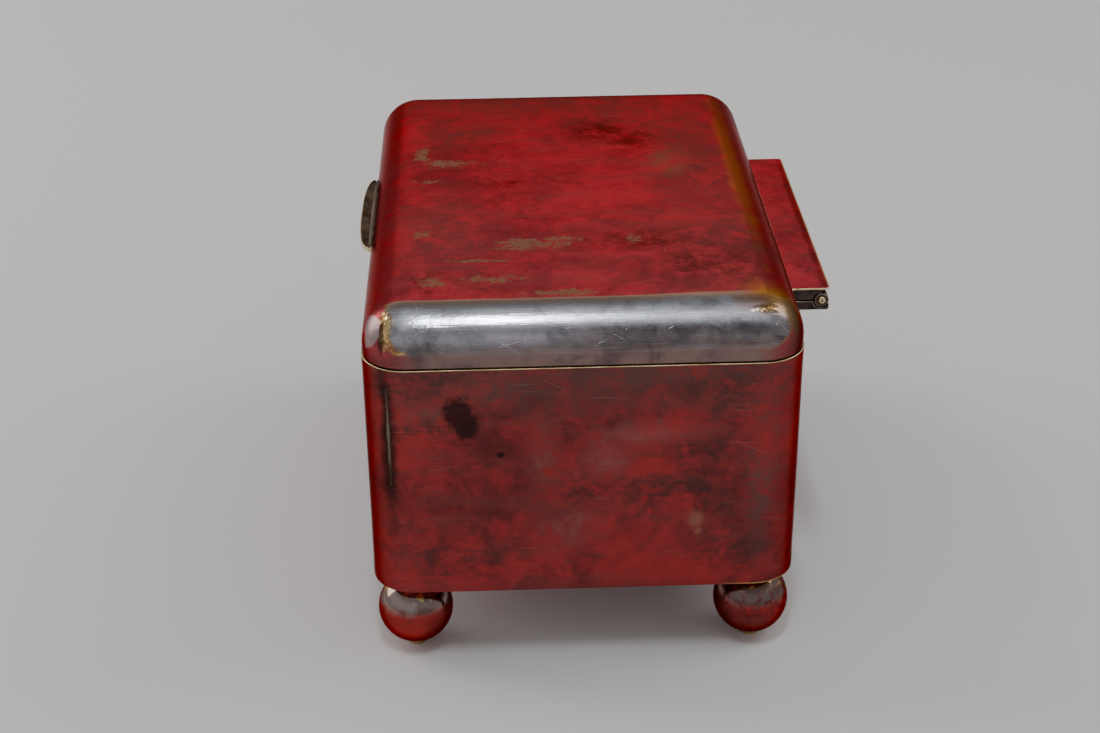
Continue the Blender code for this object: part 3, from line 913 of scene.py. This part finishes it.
def ball_metal():
    """The balls are dull silver above their middles and red film below, with painted shade on the balls
    towards +Y.
    """
    plate = Plate("ball_plate", 61.0, BALL_FILM_AND_REFLECTION, rough=0.10)
    tree = plate.tree
    y, z = node(tree, "SeparateXYZ", _0=plate.place).outputs[1:]
    low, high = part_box("foot_ball_front_left")
    middle = (low.z + high.z) / 2
    wobble = times(tree, minus(tree, plate.ragged, 0.5), 4 * MM)
    upper = ease(tree, plus(tree, z, wobble), middle + 0.8 * MM, middle + 3.2 * MM)
    # Painted shade: towards +Y the cap darkens and dark film streaks gather.
    away = ease(tree, y, -20 * MM, 20 * MM)
    cloudy = plus(tree, ease(tree, plate.middle, 0.44, 0.60), away)
    cap = blend(tree, maths(tree, "MINIMUM", cloudy, 1.0), CAP, CAP_DULL_AND_SHADE)
    plate.paint(upper, cap, 0.9)
    streaks = times(tree, ease(tree, plate.fine, 0.50, 0.62), away)
    plate.paint(streaks, BALL_FILM_AND_REFLECTION[1], 0.85)
    neck = ease(tree, plus(tree, z, wobble), high.z - 4.2 * MM, high.z - 2.2 * MM)
    plate.paint(times(tree, neck, ease(tree, plate.fine, 0.50, 0.58)), BRASS, 0.9)
    return plate.finished()


# ---------------------------------------------------------------- pieces


def add_body_wall(outside, rim):
    """A band with a rounded foot, and a rim whose worn edge has a material of its own."""
    low, high = WALL_LOW.z, WALL_HIGH.z
    quarter = math.pi / 2
    rings = [wall_ring(SHEET, low)]
    for a, b in arc((0, 0), FOOT_ROUND, -quarter, 0, 3):
        rings.append(wall_ring(FOOT_ROUND - a, low + FOOT_ROUND + b))
    levels = round((high - low) / SIDE_PITCH)
    rings += [wall_ring(0, low + (high - low) * level / levels) for level in range(1, levels)]
    rim_start = len(rings)
    for a, b in arc((0, 0), RIM_ROUND, 0, quarter, 5):
        rings.append(wall_ring(RIM_ROUND - a, high - RIM_ROUND + b))
    rings.append(wall_ring(SHEET, high))
    mesh = clean_mesh("body_wall_fine", *skin(rings, looped=True))
    count = len(rings[0])
    press_in(mesh, count, count * (len(rings) - 1), (low, high))
    add_piece("body_wall", mesh, [outside, rim])
    for face in mesh.polygons:
        face.material_index = 1 if min(face.vertices) >= count * rim_start else 0


def add_lid_shell(outside, inside):
    quarter = math.pi / 2
    inner = []
    for out, up in arc((0, 0), SHOULDER_RADIUS - SHEET, quarter, 0, 10):
        inner.append(lid_ring(SHOULDER_RADIUS - out, SHOULDER_Z + up))
    inner.append(lid_ring(SHEET, LID_LOW.z))
    outer = []
    for a, b in arc((0, 0), RIM_ROUND, -quarter, 0, 4):
        outer.append(lid_ring(RIM_ROUND - a, LID_LOW.z + RIM_ROUND + b))
    for out, up in arc((0, 0), SHOULDER_RADIUS, 0, quarter, SHOULDER_STEPS):
        outer.append(lid_ring(SHOULDER_RADIUS - out, SHOULDER_Z + up))
    for step in range(1, TOP_STEPS):
        drawn_in = (FLAT_Y - 1 * MM) * step / (TOP_STEPS - 1)
        corner = CORNER_RADIUS - (WALL_HIGH.x - LID_HIGH.x) - SHOULDER_RADIUS
        outer.append(box_ring(FLAT_X - drawn_in, FLAT_Y - drawn_in, corner, LID_HIGH.z))
    mesh = clean_mesh("lid_shell_fine", *skin(inner + outer))
    count = len(outer[0])
    press_in(mesh, count * len(inner), len(mesh.vertices), (LID_LOW.z,), lid_dents())
    for face in mesh.polygons:
        if max(face.vertices) < count * len(inner):
            face.material_index = 1
    add_piece("lid_shell", mesh, [outside, inside])


def lid_dents():
    """A crease of small knocks on the near front corner, each (centre, radius, depth)."""
    centre = Vector((FLAT_X, MIDDLE_Y - FLAT_Y, SHOULDER_Z))
    dents = []
    for rise, turn, radius, depth in (
        (62, -22, 1.6, 0.16),
        (52, -40, 1.3, 0.12),
        (40, -24, 1.4, 0.14),
        (28, -34, 1.7, 0.16),
        (18, -14, 1.4, 0.10),
        (45, -8, 1.8, 0.08),
    ):
        up, round_z = math.radians(rise), math.radians(turn)
        way = Vector((math.cos(up) * math.cos(round_z), math.cos(up) * math.sin(round_z), math.sin(up)))
        dents.append((centre + way * SHOULDER_RADIUS, radius * MM, depth * MM))
    return dents


def foot_centre(name):
    """The middle of a foot's ball, and its radius."""
    low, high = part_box("foot_ball_" + name)
    radius = (high.x - low.x) / 2
    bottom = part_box("foot_rivet_" + name)[0].z
    return Vector(((low.x + high.x) / 2, (low.y + high.y) / 2, bottom + DISC_DROP + radius)), radius


def add_foot(name, ball_look, rivet_look):
    centre, radius = foot_centre(name)
    at_centre = Matrix.Translation(centre)
    neck_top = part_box("foot_ball_" + name)[1].z - centre.z
    rivet_low, rivet_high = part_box("foot_rivet_" + name)
    disc_radius = (rivet_high.x - rivet_low.x) / 2
    first = math.acos(NECK_RADIUS / radius)
    last = -math.acos((disc_radius + 0.1 * MM) / radius)
    ball = [(NECK_RADIUS, neck_top), *arc((0, 0), radius, first, last, BALL_STEPS)]
    under = ball[-1][1]
    ball += [(RIVET_BORE, under), (RIVET_BORE, neck_top)]
    mesh = clean_mesh("foot_ball_fine", *skin(turned(ball, BALL_SIDES, at_centre), looped=True))
    add_piece("foot_ball_" + name, mesh, [ball_look])
    bottom, top = rivet_low.z - centre.z, rivet_high.z - centre.z
    head = disc_radius - 0.2 * MM
    rivet = [(disc_radius * 0.6, bottom + 0.05 * MM)]
    for a, b in arc((0, 0), DISC_ROUND, -math.pi / 2, 0, 5):
        rivet.append((disc_radius - DISC_ROUND + a, bottom + DISC_ROUND + b))
    rivet += [(disc_radius, under - 0.1 * MM), (RIVET_RADIUS, under - 0.1 * MM)]
    rivet += [(RIVET_RADIUS, top - HEAD_HEIGHT), (head, top - HEAD_HEIGHT)]
    rivet += [(head * out, top - HEAD_HEIGHT * down) for out, down in ((0.97, 0.5), (0.82, 0.15), (0.5, 0))]
    mesh = clean_mesh("foot_rivet_fine", *skin(turned(rivet, TURNED_SIDES, at_centre)))
    add_piece("foot_rivet_" + name, mesh, [rivet_look])


def thumb_section(reach):
    """((y, z), zone) over the thumbpiece for a reach in front of the lid, from its root outwards.

    The zones are 0 for the dished face, 1 for the outer rim and 2 for the ridge along the lid.
    """
    points = []
    for step in range(THUMB_STEPS + 1):
        across = step / THUMB_STEPS
        z = THUMB_HALF * (0.92 - 0.62 * math.sin(math.pi * across**0.8) ** 1.4)
        y = THUMB_INNER - (THUMB_INNER + reach * THUMB_DISHED) * across
        points.append(((y, z), 2 if across < 0.2 else 0))
    for out, up in arc((0, 0), 1, math.pi / 2, -math.pi / 2, 8)[1:]:
        y = -reach * (THUMB_DISHED + 0.14 * out)
        points.append(((y, THUMB_HALF * (0.1 + 0.82 * up)), 1))
    points.append(((-reach * 0.5, -THUMB_HALF * 0.95), 0))
    return points


def thumb_root():
    """(y, z) of the root, which follows the lid's shoulder from below upwards."""
    low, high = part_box("thumbpiece")
    middle = (low.z + high.z) / 2
    points = []
    for level in (-1, -0.5, 0, 0.5, 1):
        z = level * THUMB_HALF
        rise = middle + z - SHOULDER_Z
        drawn_in = SHOULDER_RADIUS - math.sqrt(SHOULDER_RADIUS**2 - rise**2)
        points.append((drawn_in - 0.1 * MM, z))
    return points


def add_thumbpiece(dish, rim, ridge):
    """A dished crescent, long and thin, whose rim and ridge have materials of their own; its dish carries
    painted shade and its ridge a painted highlight.
    """
    low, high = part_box("thumbpiece")
    middle_z = (low.z + high.z) / 2
    half_length = high.x
    full_reach = LID_LOW.y - low.y
    root = thumb_root()
    rings = []
    for station in range(THUMB_STATIONS + 1):
        along = math.cos(math.pi * station / THUMB_STATIONS)
        share = (1 - abs(along) ** THUMB_SQUARENESS) ** (1 / THUMB_SQUARENESS)
        section = thumb_section(full_reach * max(THUMB_LEAST_REACH, share))
        zones = [zone for _, zone in section] + [0] * len(root)
        outline = [place for place, _ in section] + root
        rings.append([Vector((along * half_length, LID_LOW.y + y, middle_z + z)) for y, z in outline])
    mesh = clean_mesh("thumbpiece_fine", *skin(rings))
    count = len(rings[0])
    for face in mesh.polygons:
        if len(face.vertices) > 4:
            face.material_index = 1
        else:
            sides = sorted({vertex % count for vertex in face.vertices})
            face.material_index = 0 if sides[1] - sides[0] > 1 else zones[sides[0]]
    add_piece("thumbpiece", mesh, [dish, rim, ridge], sharp=50)


def on_pin(x):
    """Takes a shape made along Z to the pin's line, with its middle at x."""
    return Matrix.Translation((x, PIN.y, PIN.z)) @ Matrix.Rotation(math.pi / 2, 4, "Y")


def add_knuckles(dark, light):
    """Tubes round the pin, with worn arrises."""
    for name in sorted(frame["nodes"]):
        if "knuckle" not in name:
            continue
        low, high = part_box(name)
        radius = (high.z - low.z) / 2
        half = (high.x - low.x) / 2
        along_x = on_pin((low.x + high.x) / 2)
        corner = radius - KNUCKLE_ROUND
        profile = [(KNUCKLE_BORE, half), (radius - KNUCKLE_ROUND * 1.2, half)]
        profile += arc((corner, half - KNUCKLE_ROUND), KNUCKLE_ROUND, math.pi / 2, 0, 3)[1:]
        profile += [(radius, half * share) for share in (0.6, 0.2, -0.2, -0.6)]
        profile += arc((corner, KNUCKLE_ROUND - half), KNUCKLE_ROUND, 0, -math.pi / 2, 3)
        profile += [(KNUCKLE_BORE, -half)]
        mesh = clean_mesh(name + "_fine", *skin(turned(profile, TURNED_SIDES, along_x), looped=True))
        for face in mesh.polygons:
            ring = min(vertex // TURNED_SIDES for vertex in face.vertices)
            face.material_index = 1 if ring in (1, 2, 3) or ring in (9, 10, 11) else 0
        add_piece(name, mesh, [dark, light])


def add_hinge_pin(brass, dark):
    """A pin with domed ends, each with a small dark dimple."""
    low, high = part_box("hinge_pin")
    radius = (high.z - low.z) / 2
    half = high.x
    dimple = [(0.12 * MM, half - 0.12 * MM), (0.24 * MM, half - 0.06 * MM), (0.36 * MM, half - 0.01 * MM)]
    dome = [(0.5 * MM, half), (0.66 * MM, half - 0.05 * MM), (0.78 * MM, half - 0.13 * MM)]
    end = dimple + dome + [(radius, half - 0.28 * MM)]
    profile = end + [(r, -along) for r, along in reversed(end)]
    mesh = clean_mesh("hinge_pin_fine", *skin(turned(profile, TURNED_SIDES, on_pin(0))))
    for face in mesh.polygons:
        rings = sorted(vertex // TURNED_SIDES for vertex in face.vertices)
        if rings[-1] <= 2 or rings[0] >= len(profile) - 3:
            face.material_index = 1
    add_piece("hinge_pin", mesh, [brass, dark])


def add_hinge_plates(cover, dark, light, arris):
    refined("hinge_lower_leaf", [dark, light], 0.14 * MM, arris=1)
    refined("hinge_upper_leaf", [dark, light], 0.10 * MM)
    refined(
        "hinge_cover_plate",
        [cover, arris],
        0.17 * MM,
        arris=1,
        edge_test=lambda normal: abs(normal.z) < 0.5,
    )


def add_lining(cedar_x, cedar_y):
    grain = {"lining_left": cedar_y, "lining_right": cedar_y, "lining_divider": cedar_y}
    for name in sorted(frame["nodes"]):
        if name.startswith("lining"):
            refined(name, [grain.get(name, cedar_x)], 0.35 * MM)


# ---------------------------------------------------------------- stage


def add_camera():
    """Looks along the box's length from above its right end."""
    data = bpy.data.cameras.new("camera")
    data.lens = CAMERA_LENS
    data.sensor_width = CAMERA_FILM
    camera = bpy.data.objects.new("camera", data)
    bpy.context.scene.collection.objects.link(camera)
    down, aside, roll = (math.radians(turn) for turn in (CAMERA_DOWN, CAMERA_ASIDE, CAMERA_ROLL))
    level_part = math.cos(down)
    forward = Vector((-level_part * math.cos(aside), level_part * math.sin(aside), -math.sin(down)))
    level = Vector((math.sin(aside), math.cos(aside), 0))
    upward = level.cross(forward)
    right = level * math.cos(roll) + upward * math.sin(roll)
    up = upward * math.cos(roll) - level * math.sin(roll)
    axes = Matrix((right, up, -forward)).transposed().to_4x4()
    camera.matrix_world = Matrix.Translation(CAMERA_PLACE) @ axes
    bpy.context.scene.camera = camera


def add_floor():
    corners = [(x * FLOOR_REACH, y * FLOOR_REACH, 0) for x, y in ((-1, -1), (1, -1), (1, 1), (-1, 1))]
    mesh = bpy.data.meshes.new("floor")
    mesh.from_pydata(corners, [], [(0, 1, 2, 3)])
    floor = bpy.data.objects.new("floor", mesh)
    bpy.context.scene.collection.objects.link(floor)
    material, _, shader, _, _ = new_material("floor", metallic=0.0)
    shader.inputs["Base Color"].default_value = FLOOR
    shader.inputs["Roughness"].default_value = 0.9
    mesh.materials.append(material)


def add_softbox(name, location, width, height, power, colour):
    data = bpy.data.lights.new(name, "AREA")
    data.shape = "RECTANGLE"
    data.size = width
    data.size_y = height
    data.energy = power
    data.color = colour
    light = bpy.data.objects.new(name, data)
    bpy.context.scene.collection.objects.link(light)
    light.location = location
    light.rotation_euler = (Vector(LIGHT_TARGET) - Vector(location)).to_track_quat("-Z", "Y").to_euler()


def add_lights():
    """A studio with walls brighter than its ceiling, a glow overhead and the soft boxes."""
    world = bpy.data.worlds.new("studio")
    world.use_nodes = True
    tree = world.node_tree
    way = tree.nodes.new("ShaderNodeTexCoord").outputs["Generated"]
    rise = node(tree, "SeparateXYZ", _0=way).outputs[2]
    low = ease(tree, rise, 0.0, 0.35, 0.70, 0.95)
    high = ease(tree, rise, 0.45, 0.8, 1.0, 0.45)
    walls = times(tree, times(tree, low, high), 0.62)
    facing = node(tree, "VectorMath", {"operation": "DOT_PRODUCT"}, _0=way, _1=GLOW_WAY).outputs[1]
    glow = ease(tree, facing, 0.80, 1.0, 0.0, 0.5)
    tree.links.new(plus(tree, walls, glow), tree.nodes["Background"].inputs[1])
    tree.nodes["Background"].inputs[0].default_value = WORLD_COLOUR
    bpy.context.scene.world = world
    for name, settings in SOFTBOXES.items():
        add_softbox(name, *settings)


def main():
    add_camera()
    add_floor()
    add_lights()
    wall = wall_metal()
    metals = {name: plain_metal(name, *look) for name, look in PLAIN_METALS.items()}
    brass, arris = metals["worn_brass"], metals["worn_arris"]
    dark, dark_arris = metals["dark_brass"], metals["rubbed_arris"]
    balls = ball_metal()
    base = Plate("base_plate_metal", 81.0, WALL_FILM_AND_REFLECTION).finished()
    add_body_wall(wall, metals["rim_brass"])
    add_lid_shell(lid_metal(), metals["inner_plate"])
    for name in ("front_left", "front_right", "back_left", "back_right"):
        add_foot(name, balls, brass)
    refined("base_plate", [base], 0.2 * MM)
    add_thumbpiece(metals["thumb_dish_shade"], arris, metals["thumb_ridge_highlight"])
    add_hinge_plates(cover_metal(), dark, dark_arris, arris)
    add_knuckles(dark, dark_arris)
    add_hinge_pin(arris, dark_arris)
    add_lining(cedar("cedar_along_x", "X"), cedar("cedar_along_y", "Y"))


main()
